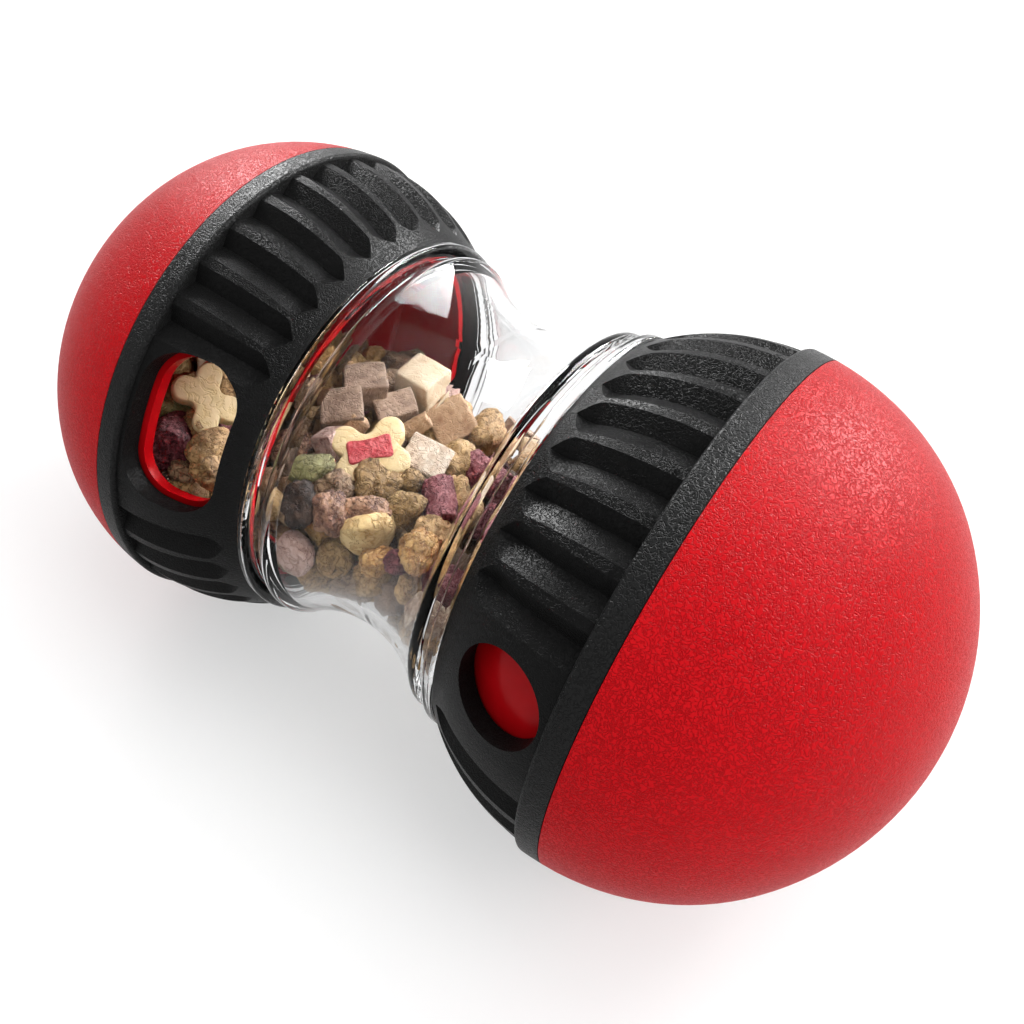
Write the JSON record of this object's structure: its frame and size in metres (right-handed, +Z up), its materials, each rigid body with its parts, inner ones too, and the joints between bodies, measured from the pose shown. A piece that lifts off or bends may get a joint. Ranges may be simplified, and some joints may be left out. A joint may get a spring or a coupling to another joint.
{
  "type": "treat ball",
  "caption": "Rolling pet treat toy: clear waisted chamber between fluted black collars with treat holes, and red domed ends that turn inner sleeve shutters.",
  "frame": {"origin": "centre of the clear waist, on the long axis, which is the centre of the bounding box", "axes": "+X along the long axis, towards the end with the small round treat hole; +Z up as the ball lies on its side; the treat holes face -Y and up"},
  "size_m": [0.147, 0.08, 0.08],
  "materials": {
    "chamber_clear": "clear polished plastic",
    "collar_black": "leathery grain",
    "band_black": "leathery grain",
    "shutter_red": "gloss",
    "dome_red": "fine leathery grain, satin",
    "kibble_brown": "baked, porous",
    "biscuit_cream": "cut, crumbly",
    "stick_maroon": "extruded, creased"
  },
  "bodies": {
    "chamber": {"clear_chamber": "chamber_clear", "chamber_kibble": "kibble_brown", "chamber_cubes": "biscuit_cream", "chamber_sticks": "stick_maroon"},
    "left_grip": {"collar_left": "collar_black", "band_left": "band_black", "left_end_kibble": "kibble_brown", "left_end_cubes": "biscuit_cream", "left_end_sticks": "stick_maroon"},
    "left_turner": {"shutter_left": "shutter_red", "dome_left": "dome_red"},
    "right_grip": {"collar_right": "collar_black", "band_right": "band_black"},
    "right_turner": {"shutter_right": "shutter_red", "dome_right": "dome_red"}
  },
  "joints": [
    {"name": "left_collar_off", "type": "slide", "parent": "chamber", "child": "left_grip", "axis": [-1, 0, 0], "range_m": [0, 0.045]},
    {"name": "right_collar_off", "type": "slide", "parent": "chamber", "child": "right_grip", "axis": [1, 0, 0], "range_m": [0, 0.045]},
    {"name": "left_shutter_turn", "type": "hinge", "parent": "left_grip", "child": "left_turner", "pos_m": [-0.036, 0, 0], "axis": [1, 0, 0], "range_deg": [0, 60]},
    {"name": "right_shutter_turn", "type": "hinge", "parent": "right_grip", "child": "right_turner", "pos_m": [0.036, 0, 0], "axis": [1, 0, 0], "range_deg": [0, 60]}
  ]
}
